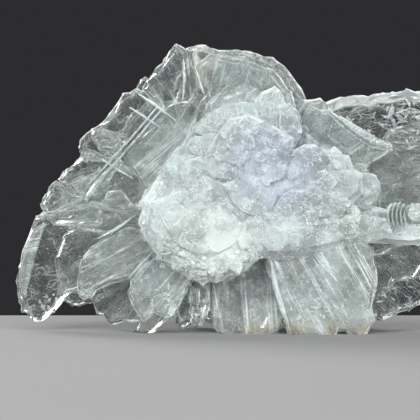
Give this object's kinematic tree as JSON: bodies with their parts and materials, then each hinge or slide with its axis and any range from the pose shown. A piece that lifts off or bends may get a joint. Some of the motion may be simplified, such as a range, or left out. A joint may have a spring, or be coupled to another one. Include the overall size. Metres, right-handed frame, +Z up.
{
  "type": "barite crystal cluster",
  "caption": "Fan-shaped cluster of clear to milky tabular barite blades around a blue-white rosette, standing on its flat broken foot.",
  "frame": {"origin": "middle of the cluster's box, on the plane of the broken foot that it stands on", "axes": "+X to the right along the fan's length, +Y away from the front through the thickness of the blades, +Z up"},
  "size_m": [0.0766, 0.0194, 0.0477],
  "materials": {
    "barite": "clear to milky crystal, glassy on the flat faces and pearly on the scaly rosette"
  },
  "bodies": {
    "root": {"barite_cluster": "barite"}
  },
  "joints": []
}
